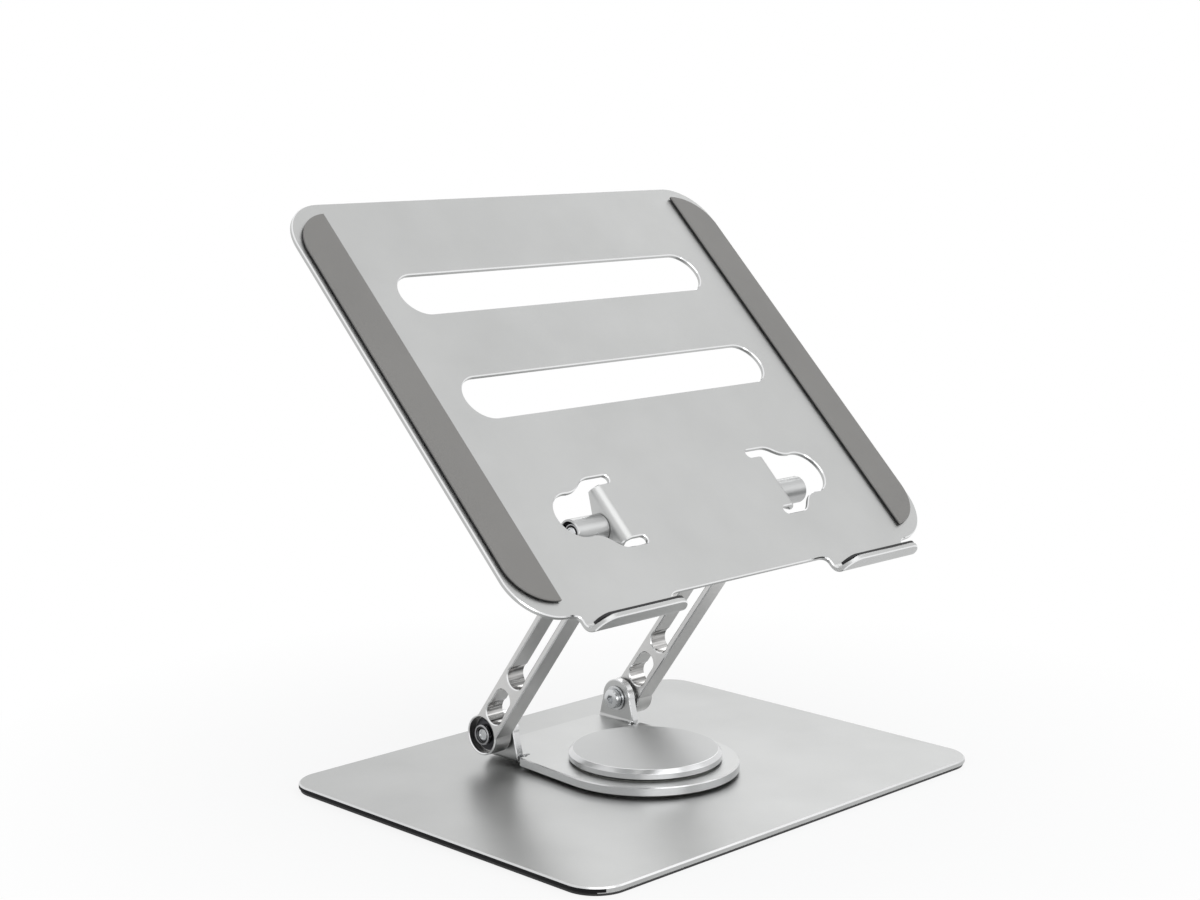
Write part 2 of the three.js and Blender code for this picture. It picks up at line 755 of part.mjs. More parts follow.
function makeTray() {
  const half = trayWidth / 2;
  const corner = trayCornerRadius;
  const outline = roundedRectangle(-half, trayFront, half, trayFront + trayDepth, [corner, corner, corner, corner]);
  outline.holes.push(pill(frontVentFromFront), pill(rearVentFromFront));
  const sheet = raised(outline, trayBottom, trayThickness, trayChamfer);
  const notch = raised(notchOutline(), trayBottom - overrun, trayThickness + 2 * overrun);
  const bent = lengthways(tabSection(), trayFront + tabFront - overrun, tabBack - tabFront + 2 * overrun);
  const tab = common(bent, sideways(tabSide(), tabBendStartX - 2 * overrun, tabBendOuterRadius + 3 * overrun));
  const curl = sideways(lipSection(), lipCentreX - lipWidth, 2 * lipWidth);
  const lipMask = lengthways(lipFront(), trayFront - lipReach - overrun, lipReach + 3 * overrun);
  const lip = common(curl, lipMask);
  const bore = turnedAlongX(rodPoints(boltHoleRadius, tabInnerX - overrun, tabOuterX + overrun));
  const rightJoins = [tab, lip, lipRoots()];
  const mirror = (geometry) => closed(geometry.clone().scale(-1, 1, 1));
  const opened = cut(sheet, notch, mirror(notch));
  return cut(join(opened, ...rightJoins, ...rightJoins.map(mirror)), bore, mirror(bore));
}

part("tray", makeTray(), "aluminium", tray);

// Barrels: cups that stand on the tabs and hold the springs and nut, open outwards
partPair("upper_barrel", turnedAlongX([
  [boltHoleRadius, barrelInnerX],
  [barrelRadius, barrelInnerX],
  [barrelRadius, barrelOuterX],
  [barrelBoreRadius, barrelOuterX],
  [barrelBoreRadius, barrelInnerX + barrelFloor],
  [boltHoleRadius, barrelInnerX + barrelFloor],
  [boltHoleRadius, barrelInnerX],
]), "aluminium", tray);

// Side pads on the tray's top face: a straight inner edge, and outer corners that follow the tray's and run to it
function makeSidePad() {
  const right = trayWidth / 2 - padMargin;
  const left = right - padWidth;
  const low = trayFront + padFrontMargin;
  const high = trayFront + trayDepth - padBackMargin;
  const corner = trayCornerRadius - padMargin;
  const centreX = right - corner;
  const meet = Math.acos(Math.max(0, left - centreX) / corner);
  const rise = corner * (1 - Math.sin(meet));
  const outline = new THREE.Shape();
  outline.moveTo(left, low + rise);
  arc(outline, centreX, low + corner, corner, -meet, 0);
  arc(outline, centreX, high - corner, corner, 0, meet);
  outline.lineTo(left, high - rise);
  return raised(outline, trayTop + seatGap, padThickness, padChamfer);
}

partPair("side_pad", makeSidePad(), "greyRubber", tray);

// Rubber facing on the inner side of each lip
function makeLipPad() {
  const half = lipWidth / 2 - lipPadMargin;
  const face = trayFront - lipReach + trayThickness + seatGap;
  const low = trayTop + lipPadFoot;
  const high = trayTop + lipRise - lipPadMargin;
  const corner = lipPadCornerRadius;
  const outline = roundedRectangle(lipCentreX - half, low, lipCentreX + half, high, [0, 0, corner, corner]);
  return lengthways(outline, face, lipPadThickness);
}

partPair("lip_pad", makeLipPad(), "rubber", tray);

export default stand;
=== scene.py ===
"""Folding laptop stand: fine meshes, materials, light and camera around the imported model.

Lengths are written in millimetres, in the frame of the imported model, and turned into metres as each mesh
is made. +Z is up, the user is at -Y, and the origin is where the pivot's axis meets the desk.
"""

import math

import bmesh
import bpy
from mathutils import Matrix, Vector
from mathutils.geometry import tessellate_polygon


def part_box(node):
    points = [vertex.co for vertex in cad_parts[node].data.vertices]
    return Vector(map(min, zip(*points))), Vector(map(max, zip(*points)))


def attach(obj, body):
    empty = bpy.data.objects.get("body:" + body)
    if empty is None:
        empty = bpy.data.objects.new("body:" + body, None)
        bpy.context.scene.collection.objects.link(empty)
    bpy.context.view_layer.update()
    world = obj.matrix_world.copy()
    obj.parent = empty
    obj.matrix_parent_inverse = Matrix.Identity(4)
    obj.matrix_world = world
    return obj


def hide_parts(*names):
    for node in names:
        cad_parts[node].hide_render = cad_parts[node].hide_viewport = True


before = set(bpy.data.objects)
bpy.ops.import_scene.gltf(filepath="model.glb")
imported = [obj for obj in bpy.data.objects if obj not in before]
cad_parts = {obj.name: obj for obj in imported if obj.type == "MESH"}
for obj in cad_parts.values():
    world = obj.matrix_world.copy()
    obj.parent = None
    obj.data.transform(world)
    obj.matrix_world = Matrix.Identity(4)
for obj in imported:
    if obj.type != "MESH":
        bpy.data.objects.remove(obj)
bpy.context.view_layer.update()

MM = 0.001
# How far an arc's chords may lie from the arc
ARC_ERROR = 0.012
# The distance under which two points are one, in an outline and, in metres, in a mesh
SAME_POINT = 1e-4
MERGE = 1e-6
MOST_SLOTS = 3
# Steps of a rounded rim, of the bends and of a curve
ROUND_STEPS = 3
BEND_STEPS = 10
LIP_BEND_STEPS = 12
CURVE_STEPS = 16

# Base
BASE_WIDTH = 270
BASE_DEPTH = 212
BASE_CENTRE_Y = 5
BASE_CORNER = 17
BASE_RIM = 0.7
BASE_TOP = 4
MAT_TOP = 1
MAT_MARGIN = 0.8
MAT_RIM = 0.2

# Pivot and swivel plate
CAP_RADIUS = 37.5
CAP_LOW = 10.8
CAP_HIGH = 15.5
CAP_CHAMFER = 2
CAP_FOOT_CHAMFER = 0.3
PLATE_RADIUS = 46
PLATE_LOW = 5.3
PLATE_HIGH = 9.8
PLATE_RIM = 0.5
EAR_OUTER_X = 43
EAR_BEND = 1.5
EAR_HALF = 12
EAR_RADIUS = 9.7
EAR_BACK_MARGIN = 2
HUB_HOLE = 14.3

# The slit in front of each ear, the round relief on it and the plate's corner in front of it
SLIT = 1.2
RELIEF_X = 39.2
RELIEF_RADIUS = 1.7
SHOULDER_INSET = 1.6
SHOULDER_RADIUS = 1.4
SHOULDER_START = 0.05

# Hinge axes and arms
LOWER_AXIS = (0, 58, 21)
ARM_LEAN = math.radians(36.5)
ARM_LENGTH = 144
ARM_INNER_X = 44.4
ARM_OUTER_X = 55.4
ARM_HALF = 8
ARM_FOOT = 10.1
ARM_HEAD = 6.6
ARM_TAPER = 24
ARM_RIM = 0.5
BOLT_HOLE = 3.3
RECESS_RADIUS = 9
RECESS_DEPTH = 5
RECESS_CHAMFER = 0.4

# The arms' openings: each has a round hole at its low end and runs up to its top as a slot
KEYHOLES = ((16, 31), (41.5, 118))
KEYHOLE_RADIUS = 5.6
KEYHOLE_HALF = 5.1

# Hinge hardware
BOLT_RADIUS = 3
BOLT_HEAD_HEIGHT = 3
SOCKET_RADIUS = 2.3
SOCKET_DEPTH = 1.8
NUT_HEXAGON = 1.3
NUT_HEIGHT = 2.2
SPRING_CONE = 0.45
SPRING_GAUGE = 0.5

# Tray
TILT = math.radians(44.8)
TRAY_WIDTH = 280
TRAY_DEPTH = 237
TRAY_FRONT = -45
TRAY_TOP = 10.5
TRAY_LOW = 8
TRAY_CORNER = 24
TRAY_RIM = 0.5
VENTS = (117, 179)
VENT_HALF_LENGTH = 100
VENT_HALF_WIDTH = 12
TAB_OUTER_X = 59.3
TAB_BEND = 2.5
TAB_FRONT = TRAY_FRONT + 31.5
TAB_BACK = TRAY_FRONT + 61.5
TAB_RADIUS = 7.4
TAB_TIP = 2.25
TAB_TIP_INSET = 4.5
NOTCH_X = 78.5
NOTCH_Y = TRAY_FRONT + 48
NOTCH_RADIUS = 12
NOTCH_OPENING = math.radians(100)
NOTCH_NECK_X = 67
LIP_X = 83
LIP_WIDTH = 56
LIP_REACH = 11
LIP_BEND = 4
LIP_RISE = 11
LIP_CORNER = 9
LIP_FLARE = 6
LIP_FLARE_DEPTH = 3.5

# Barrels, side pads and the lips' facings. The pads' and facings' heights are over the tray.
BARREL_INNER_X = 59.6
BARREL_OUTER_X = 78.6
BARREL_RADIUS = 6.6
BARREL_INSIDE = 5.5
BARREL_FLOOR = 2
PAD_MARGIN = 2.5
PAD_WIDTH = 20.5
PAD_END_MARGIN = 7.5
PAD_LOW = 0.3
PAD_DARK_TOP = 1.15
PAD_HIGH = 1.9
PAD_RIM = 0.4
FACING_MARGIN = 1.2
FACING_LOW = 2.9
FACING_THICKNESS = 1.3
FACING_GAP = 0.3
FACING_RIM = 0.3
FACING_CORNERS = (1, 1, 6, 6)

ALONG_X = Matrix(((0, 0, 1, 0), (1, 0, 0, 0), (0, 1, 0, 0), (0, 0, 0, 1)))
UPRIGHT = Matrix(((1, 0, 0, 0), (0, 0, -1, 0), (0, 1, 0, 0), (0, 0, 0, 1)))
MIRROR = Matrix.Diagonal((-1, 1, 1, 1))
STRAIGHT = Matrix.Identity(4)
LOWER = Matrix.Translation(LOWER_AXIS)
ARM_FRAME = LOWER @ Matrix.Rotation(ARM_LEAN, 4, "X")
UPPER = ARM_FRAME @ Matrix.Translation((0, 0, ARM_LENGTH))
TRAY_FRAME = Matrix.Translation(UPPER.translation) @ Matrix.Rotation(TILT, 4, "X")


# Outlines
def smooth_arc(x, y, radius, start, end):
    """Points along an arc, both ends included, close enough together to look round."""
    step = 2 * math.acos(1 - ARC_ERROR / max(radius, 4 * ARC_ERROR))
    count = max(2, math.ceil(abs(end - start) / step))
    turn = (end - start) / count
    return [(x + radius * math.cos(start + turn * i), y + radius * math.sin(start + turn * i))
            for i in range(count + 1)]


def curve(*controls):
    """Points along the curve that the control points give, the first left out."""
    points = []
    for i in range(1, CURVE_STEPS + 1):
        level = list(controls)
        while len(level) > 1:
            level = [tuple(a[k] + (b[k] - a[k]) * i / CURVE_STEPS for k in (0, 1))
                     for a, b in zip(level, level[1:])]
        points.append(level[0])
    return points


def rounded(left, low, right, high, radii):
    """A rectangle's outline, with radii for its corners from the low left one round to the high left one."""
    corners = ((left, low, 1, 1), (right, low, -1, 1), (right, high, -1, -1), (left, high, 1, -1))
    points = []
    for k, ((x, y, side, rise), radius) in enumerate(zip(corners, radii)):
        start = math.pi + k * math.pi / 2
        points += smooth_arc(x + side * radius, y + rise * radius, radius, start, start + math.pi / 2)
    return points


def area(loop):
    return sum(a[0] * b[1] - b[0] * a[1] for a, b in zip(loop, loop[1:] + loop[:1])) / 2


def tidy_loop(loop, turn):
    """The loop without repeated points, anticlockwise for turn 1 and clockwise for turn -1."""
    clean = [p for p, q in zip(loop, loop[-1:] + loop[:-1]) if math.dist(p, q) > SAME_POINT]
    return clean if area(clean) * turn > 0 else clean[::-1]


def inset(loop, depth):
    """The loop moved towards the material on its left."""
    points = []
    for before, point, after in zip(loop[-1:] + loop[:-1], loop, loop[1:] + loop[:1]):
        a = Vector(point) - Vector(before)
        b = Vector(after) - Vector(point)
        a.normalize()
        b.normalize()
        na = Vector((-a.y, a.x))
        nb = Vector((-b.y, b.x))
        middle = (na + nb).normalized()
        points.append(tuple(Vector(point) + middle * depth / max(middle.dot(na), 0.5)))
    return points


# Meshes
def mesh_object(name, verts, faces, slots=None):
    """A mesh from points in millimetres, with empty material slots that its cutting and shading keep."""
    mesh = bpy.data.meshes.new(name)
    mesh.from_pydata([Vector(v) * MM for v in verts], [], faces)
    for _ in range(MOST_SLOTS):
        mesh.materials.append(None)
    if slots:
        mesh.polygons.foreach_set("material_index", slots)
    obj = bpy.data.objects.new(name, mesh)
    bpy.context.scene.collection.objects.link(obj)
    return obj


def prism(name, outline, holes, low, high, rim, steps=1, wall=0):
    """A flat piece with an outline and holes, its rims chamfered (one step) or rounded (more).

    The rims take material 1 and the walls between them the material wall."""
    loops = [tidy_loop(outline, 1)] + [tidy_loop(hole, -1) for hole in holes]
    levels = []
    for i in range(steps + 1):
        angle = i / steps * math.pi / 2
        levels.append((rim * (1 - math.sin(angle)), low + rim * (1 - math.cos(angle))))
    levels += [(depth, low + high - z) for depth, z in reversed(levels)]
    verts, faces, slots, starts = [], [], [], []
    for loop in loops:
        count = len(loop)
        rows = []
        for depth, z in levels:
            rows.append(len(verts))
            verts += [(x, y, z) for x, y in (inset(loop, depth) if depth else loop)]
        for k, (a, b) in enumerate(zip(rows, rows[1:])):
            for i in range(count):
                j = (i + 1) % count
                faces.append((a + i, a + j, b + j, b + i))
                slots.append(wall if k == len(levels) // 2 - 1 else 1)
        starts.append((rows[0], rows[-1], count))
    for row, flip in ((0, True), (1, False)):
        index = [start[row] + i for start in starts for i in range(start[2])]
        rings = [[Vector((*verts[start[row] + i][:2], 0)) for i in range(start[2])] for start in starts]
        for triangle in tessellate_polygon(rings):
            corners = [index[i] for i in triangle]
            a, b, c = (Vector(verts[i][:2]) for i in corners)
            up = (b - a).cross(c - a) > 0
            faces.append(tuple(corners if up != flip else corners[::-1]))
            slots.append(0)
    return mesh_object(name, verts, faces, slots)


def turned(name, profile, sides):
    """A body turned about Z from a closed profile of (radius, height)."""
    turns = [2 * math.pi * i / sides for i in range(sides)]
    verts = [(r * math.cos(turn), r * math.sin(turn), h) for r, h in profile for turn in turns]
    faces = []
    for k in range(len(profile)):
        m = (k + 1) % len(profile)
        if profile[k][0] == 0 and profile[m][0] == 0:
            continue
        for i in range(sides):
            j = (i + 1) % sides
            faces.append((k * sides + i, k * sides + j, m * sides + j, m * sides + i))
    obj = mesh_object(name, verts, faces)
    work = bmesh.new()
    work.from_mesh(obj.data)
    bmesh.ops.remove_doubles(work, verts=work.verts, dist=1e-7)
    bmesh.ops.dissolve_degenerate(work, edges=work.edges, dist=1e-8)
    bmesh.ops.recalc_face_normals(work, faces=work.faces)
    work.to_mesh(obj.data)
    work.free()
    return obj


def moved(obj, matrix):
    """Moves the mesh by a matrix whose shift is in millimetres."""
    place = matrix.copy()
    place.translation = matrix.translation * MM
    obj.data.transform(place)
    if place.determinant() < 0:
        obj.data.flip_normals()
    return obj


def copy_of(obj, name):
    twin = obj.copy()
    twin.data = obj.data.copy()
    twin.name = name
    bpy.context.scene.collection.objects.link(twin)
    return twin


def painted(obj, index, rule, other=None):
    """Gives the faces that the rule picks a material index, and the rest another one where it is given."""
    for face in obj.data.polygons:
        if rule(face):
            face.material_index = index
        elif other is not None:
            face.material_index = other
    return obj


def applied(obj):
    """Puts the result of the object's modifiers into its mesh."""
    graph = bpy.context.evaluated_depsgraph_get()
    mesh = bpy.data.meshes.new_from_object(obj.evaluated_get(graph))
    obj.modifiers.clear()
    old = obj.data
    obj.data = mesh
    bpy.data.meshes.remove(old)
    return obj


def carved(obj, tools, operation="DIFFERENCE"):
    """Cuts the tools out of obj, or joins them to it."""
    for tool in tools:
        change = obj.modifiers.new("cut", "BOOLEAN")
        change.operation = operation
        change.solver = "EXACT"
        change.object = tool
    applied(obj)
    for tool in tools:
        bpy.data.objects.remove(tool)
    return obj


def point_on(edge, points):
    """The share of the edge's length at which one of the points lies on it between its ends, or None."""
    start = edge.verts[0].co
    along = edge.verts[1].co - start
    for point in points:
        share = (point.co - start).dot(along) / along.length_squared
        if point not in edge.verts and 0 < share < 1 and (start + along * share - point.co).length < MERGE:
            return share
    return None


def mended(obj):
    """Takes out faces without area, and gives each open edge the points that its neighbours have on it."""
    work = bmesh.new()
    work.from_mesh(obj.data)
    bmesh.ops.remove_doubles(work, verts=work.verts, dist=MERGE)
    bmesh.ops.dissolve_degenerate(work, edges=work.edges, dist=MERGE / 10)
    split = True
    while split:
        split = False
        open_edges = [edge for edge in work.edges if len(edge.link_faces) == 1]
        points = dict.fromkeys(point for edge in open_edges for point in edge.verts)
        for edge in open_edges:
            share = point_on(edge, points)
            if share is not None:
                bmesh.utils.edge_split(edge, edge.verts[0], share)
                split = True
                break
        bmesh.ops.remove_doubles(work, verts=work.verts, dist=MERGE)
    work.to_mesh(obj.data)
    work.free()
    return obj


def sliced(obj, normal, places):
    """Cuts every face along planes, for the sheet to bend at or a colour to end at."""
    work = bmesh.new()
    work.from_mesh(obj.data)
    for place in places:
        geometry = work.verts[:] + work.edges[:] + work.faces[:]
        bmesh.ops.bisect_plane(work, geom=geometry, dist=1e-8, plane_co=Vector(normal) * place * MM,
                               plane_no=Vector(normal))
    work.to_mesh(obj.data)
    work.free()
    return obj


def bent(obj, inside, start, reach, radius_inner, thickness, upper, sign):
    """Bends the part of a flat sheet beyond start, where inside(x, y) holds, by a quarter turn.

    start is where the bend begins, measured along reach (a unit vector in the sheet). upper is the height
    of the sheet's face on the inside of the bend. sign is 1 for a bend upwards and -1 for one downwards."""
    neutral = radius_inner + thickness / 2
    centre = upper + sign * radius_inner
    for v in obj.data.vertices:
        p = v.co / MM
        along = p.x * reach[0] + p.y * reach[1]
        s = along - start
        if s <= 1e-5 or not inside(p.x, p.y):
            continue
        r = abs(centre - p.z)
        angle = min(s / neutral, math.pi / 2)
        rest = max(0, s - neutral * math.pi / 2)
        flat = start + r * math.sin(angle)
        z = centre - sign * r * math.cos(angle) + sign * rest
        shift = flat - along
        v.co = Vector((p.x + shift * reach[0], p.y + shift * reach[1], z)) * MM
    return obj


def side_cuts(start, quarter):
    """The planes across a bend that begins at x = start on both sides and takes up a quarter's length."""
    return [side * (start + quarter * i / BEND_STEPS) for i in range(BEND_STEPS + 1) for side in (-1, 1)]


def bore_along_x(low, high, matrix):
    """A cutter for the hinge bolts' holes."""
    profile = [(0, low), (BOLT_HOLE, low), (BOLT_HOLE, high), (0, high)]
    return moved(turned("cutter", profile, 64), matrix @ ALONG_X)


# Finish, names and bodies
def shaded(obj, angle=32):
    """Smooth faces, crisp corners, and flat faces that stay flat."""
    mesh = obj.data
    mesh.polygons.foreach_set("use_smooth", [True] * len(mesh.polygons))
    mesh.set_sharp_from_angle(angle=math.radians(angle))
    weights = obj.modifiers.new("normals", "WEIGHTED_NORMAL")
    weights.keep_sharp = True
    weights.weight = 100
    return applied(obj)


def dressed(obj, name, body, nodes, slot, *materials):
    """Names the piece, gives it its materials and body, and lets it stand for its CAD nodes."""
    obj.name = name
    obj.data.name = name
    for i, material in enumerate(materials):
        obj.data.materials[i] = material
    while len(obj.data.materials) > len(materials):
        obj.data.materials.pop()
    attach(obj, body)
    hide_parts(*nodes)


def dressed_pair(obj, name, body, node, slot, *materials):
    """The right-hand piece and its mirror image."""
    left = moved(copy_of(obj, name + "_left"), MIRROR)
    shaded(obj)
    shaded(left)
    dressed(obj, name + "_right", body, [node + "_right"], slot, *materials)
    dressed(left, name + "_left", body, [node + "_left"], slot, *materials)


# Materials
def nodes_of(material):
    material.use_nodes = True
    tree = material.node_tree
    return tree, tree.nodes["Principled BSDF"]


def set_sockets(node, sockets):
    """Sets a node's sockets by their names, which are written with _ for a space."""
    for key, value in sockets.items():
        node.inputs[key.replace("_", " ")].default_value = value
    return node


def added(tree, kind, **sockets):
    return set_sockets(tree.nodes.new("ShaderNode" + kind), sockets)


def calculated(tree, operation, first, second):
    """The output of a Math node on two other outputs."""
    node = added(tree, "Math")
    node.operation = operation
    tree.links.new(first, node.inputs[0])
    tree.links.new(second, node.inputs[1])
    return node.outputs[0]


def finish_material(name, colour, metallic, roughness, spread, grain, relief, stretch=(1, 1, 1), shade=0.04,
                    broad=0.045, **shader):
    """A material whose roughness, shade and relief vary. grain and broad are the sizes of its fine and
    its broad spots, in metres."""
    material = bpy.data.materials.new(name)
    tree, principled = nodes_of(material)
    set_sockets(principled, {"Metallic": metallic, **shader})
    place = added(tree, "TexCoord")
    mapping = added(tree, "Mapping", Scale=stretch)
    fine = added(tree, "TexNoise", Scale=1 / grain, Detail=3)
    spots = added(tree, "TexNoise", Scale=1 / broad, Detail=4)
    rough = added(tree, "MapRange", To_Min=roughness - spread, To_Max=roughness + spread)
    evened = added(tree, "MapRange", From_Min=0.3, From_Max=0.7)
    tone = added(tree, "Mix")
    tone.data_type = "RGBA"
    tone.inputs[6].default_value = (*[c * (1 - shade) for c in colour], 1)
    tone.inputs[7].default_value = (*[min(1, c * (1 + shade)) for c in colour], 1)
    bump = added(tree, "Bump", Strength=relief, Distance=0.00005)
    for output, socket in (
            (place.outputs["Object"], mapping.inputs["Vector"]),
            (mapping.outputs["Vector"], fine.inputs["Vector"]),
            (mapping.outputs["Vector"], spots.inputs["Vector"]),
            (fine.outputs["Fac"], rough.inputs["Value"]),
            (rough.outputs["Result"], principled.inputs["Roughness"]),
            (spots.outputs["Fac"], evened.inputs["Value"]),
            (evened.outputs["Result"], tone.inputs[0]),
            (tone.outputs[2], principled.inputs["Base Color"]),
            (fine.outputs["Fac"], bump.inputs["Height"]),
            (bump.outputs["Normal"], principled.inputs["Normal"])):
        tree.links.new(output, socket)
    return material


blasted = finish_material("blasted_aluminium", (0.47, 0.475, 0.472), 1, 0.36, 0.05, 0.0006, 0.35)
tray_finish = finish_material("blasted_tray", (0.51, 0.515, 0.512), 1, 0.36, 0.05, 0.0006, 0.35)
bright_blasted = finish_material("bright_blasted", (0.61, 0.608, 0.603), 1, 0.33, 0.05, 0.0006, 0.35)
cap_finish = finish_material("brushed_cap", (0.47, 0.475, 0.475), 1, 0.44, 0.05, 0.0006, 0.35)
cut_edge = finish_material("diamond_cut_edge", (0.82, 0.825, 0.83), 1, 0.16, 0.04, 0.0008, 0.15)
cut_wall = finish_material("turned_wall", (0.66, 0.665, 0.67), 1, 0.23, 0.05, 0.0007, 0.2)
machined = finish_material("machined_aluminium", (0.46, 0.465, 0.465), 1, 0.3, 0.06, 0.0005, 0.3,
                           stretch=(0.1, 1, 1), shade=0.15, broad=0.006)
# The bore walls' strong dark and bright stripes along X are painted reflections in the colour
reflection_striped_bore = finish_material("bore_painted_reflections", (0.46, 0.455, 0.45), 1, 0.14, 0.05, 0.0005, 0.3,
                        stretch=(0.04, 1, 1), shade=0.92, broad=0.0022)
steel = finish_material("plated_steel", (0.62, 0.63, 0.64), 1, 0.22, 0.06, 0.0006, 0.25)
nut_steel = finish_material("waxed_steel", (0.4, 0.4, 0.41), 1, 0.28, 0.06, 0.0006, 0.25)
washer_steel = finish_material("worn_spring_steel", (0.42, 0.42, 0.425), 1, 0.26, 0.06, 0.0006, 0.25)
dark_steel = finish_material("oiled_spring_steel", (0.055, 0.055, 0.06), 1, 0.34, 0.06, 0.0005, 0.3)
grey_rubber = finish_material("grey_silicone", (0.235, 0.228, 0.218), 0, 0.52, 0.05, 0.0005, 0.5)
# Near-black for the base's side walls: painted shade, standing in for the shade and dark floor they reflect
side_shade_paint = finish_material("painted_shade_side_wall", (0.008, 0.008, 0.009), 0, 0.6, 0.05, 0.0006, 0.3,
                             Specular_IOR_Level=0.12)
black_rubber = finish_material("black_rubber", (0.012, 0.012, 0.013), 0, 0.55, 0.08, 0.0006, 0.5)
acetal = finish_material("white_acetal", (0.72, 0.72, 0.68), 0, 0.4, 0.05, 0.0008, 0.2)

# The pieces that keep their CAD form are steel, but for the plastic slide rings
for node_name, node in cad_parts.items():
    node.data.materials.clear()
    node.data.materials.append(acetal if "slide_ring" in node_name else steel)


# Base plate and mat
def base_outline(margin):
    side = BASE_WIDTH / 2 - margin
    front = BASE_CENTRE_Y - BASE_DEPTH / 2 + margin
    back = BASE_CENTRE_Y + BASE_DEPTH / 2 - margin
    return rounded(-side, front, side, back, [BASE_CORNER - margin] * 4)


def on_shade_painted_side(face):
    """The base's left and right walls, which get near-black painted shade under their bright rims."""
    return abs(face.normal.x) > 0.5 and face.normal.z < 0.1


# The base's side walls take the near-black painted shade, material 2
base = painted(prism("base", base_outline(0), [], MAT_TOP, BASE_TOP, BASE_RIM), 2, on_shade_painted_side)
dressed(shaded(base), "base_sheet", "base", ["base_plate"], "aluminium", blasted, cut_wall, side_shade_paint)
mat = prism("mat", base_outline(MAT_MARGIN), [], 0, MAT_TOP, MAT_RIM, ROUND_STEPS)
dressed(shaded(mat), "base_rubber", "base", ["base_mat"], "black_rubber", black_rubber, black_rubber)


# Pivot cap: its slanted rim is cut bright, and the rim's two edges are eased a little
cap = turned("cap", [
    (0, CAP_LOW), (CAP_RADIUS - CAP_FOOT_CHAMFER, CAP_LOW), (CAP_RADIUS, CAP_LOW + CAP_FOOT_CHAMFER),
    (CAP_RADIUS, CAP_HIGH - CAP_CHAMFER), (CAP_RADIUS - 0.12, CAP_HIGH - CAP_CHAMFER + 0.2),
    (CAP_RADIUS - CAP_CHAMFER + 0.2, CAP_HIGH - 0.1), (CAP_RADIUS - CAP_CHAMFER - 0.1, CAP_HIGH),
    (0, CAP_HIGH)], 256)
painted(cap, 1, lambda face: face.center.xy.length > (CAP_RADIUS - CAP_CHAMFER - 0.15) * MM)
dressed(shaded(cap, 20), "pivot_disc", "base", ["pivot_cap"], "aluminium", cap_finish, cut_wall)


# Swivel plate: a flat sheet with its ears laid out to the sides, then bent up
def swivel_sheet():
    thickness = PLATE_HIGH - PLATE_LOW
    start = EAR_OUTER_X - EAR_BEND - thickness
    quarter = (EAR_BEND + thickness / 2) * math.pi / 2
    axis = start + quarter + LOWER_AXIS[2] - PLATE_HIGH - EAR_BEND
    ear_front = LOWER_AXIS[1] - EAR_HALF
    ear_back = LOWER_AXIS[1] + EAR_HALF

    # The round front runs up to where a line to the ear's front corner touches it
    corner = math.atan2(ear_front, EAR_OUTER_X)
    touch = corner - math.acos(PLATE_RADIUS / math.hypot(EAR_OUTER_X, ear_front))
    shoulder = (EAR_OUTER_X - SHOULDER_INSET, ear_front - SLIT - SHOULDER_RADIUS)
    relief = (RELIEF_X, ear_front - SLIT / 2)
    meet = math.asin(SLIT / 2 / RELIEF_RADIUS)
    half_outline = smooth_arc(0, 0, PLATE_RADIUS, -math.pi / 2, touch)
    half_outline += smooth_arc(*shoulder, SHOULDER_RADIUS, SHOULDER_START, math.pi / 2)
    half_outline += smooth_arc(*relief, RELIEF_RADIUS, -meet, meet - math.pi)
    half_outline += smooth_arc(start - 1, ear_front - SLIT / 2, SLIT / 2, -math.pi / 2, -1.5 * math.pi)
    half_outline += smooth_arc(*relief, RELIEF_RADIUS, math.pi - meet, meet)
    half_outline += [(start + quarter, ear_front)]
    half_outline += smooth_arc(axis, LOWER_AXIS[1], EAR_RADIUS, -math.pi / 2, math.pi / 2)
    half_outline += [(start + quarter, ear_back), (start, ear_back), (start, ear_back + EAR_BACK_MARGIN)]
    outline = half_outline + [(-x, y) for x, y in reversed(half_outline)]
    hole = smooth_arc(0, 0, HUB_HOLE, 0, 2 * math.pi)
    sheet = prism("swivel", outline, [hole], PLATE_LOW, PLATE_HIGH, PLATE_RIM, wall=1)

    def on_ear(x, y):
        return y >= ear_front - 0.75 * SLIT

    sliced(sheet, (1, 0, 0), side_cuts(start, quarter))
    for side in (1, -1):
        bent(sheet, on_ear, start, (side, 0), EAR_BEND, thickness, PLATE_HIGH, 1)
    return mended(carved(sheet, [bore_along_x(-60, 60, LOWER)]))


swivel = shaded(swivel_sheet())
dressed(swivel, "swivel_sheet", "turntable", ["swivel_plate"], "aluminium", tray_finish, cut_wall)


# Arms, drawn flat about the lower axis
def keyhole(low, top):
    drop = math.acos(KEYHOLE_HALF / KEYHOLE_RADIUS)
    return (smooth_arc(0, low, KEYHOLE_RADIUS, math.pi - drop, 2 * math.pi + drop)
            + smooth_arc(0, top - KEYHOLE_HALF, KEYHOLE_HALF, 0, math.pi))


def in_round_hole(face):
    """The walls of the keyholes' round ends, which get painted reflection stripes."""
    x, y = face.center.xy / MM
    near = any(math.hypot(x, y - low) < KEYHOLE_RADIUS + 0.05 for low, top in KEYHOLES)
    return near and abs(face.normal.z) < 0.1


def recess_cutter():
    """A cutter for the round recess at the arm's foot, its chamfer in material 1."""
    floor_x = ARM_OUTER_X - RECESS_DEPTH
    chamfer_low = ARM_OUTER_X - RECESS_CHAMFER
    chamfer_high = ARM_OUTER_X + 0.05
    mouth = RECESS_RADIUS + chamfer_high - chamfer_low
    top = ARM_OUTER_X + 2
    cutter = turned("cutter", [(0, floor_x), (RECESS_RADIUS, floor_x), (RECESS_RADIUS, chamfer_low),
                               (mouth, chamfer_high), (mouth, top), (0, top)], 96)
    painted(cutter, 1, lambda face: chamfer_low < face.center.z / MM < chamfer_high)
    return moved(cutter, ALONG_X)


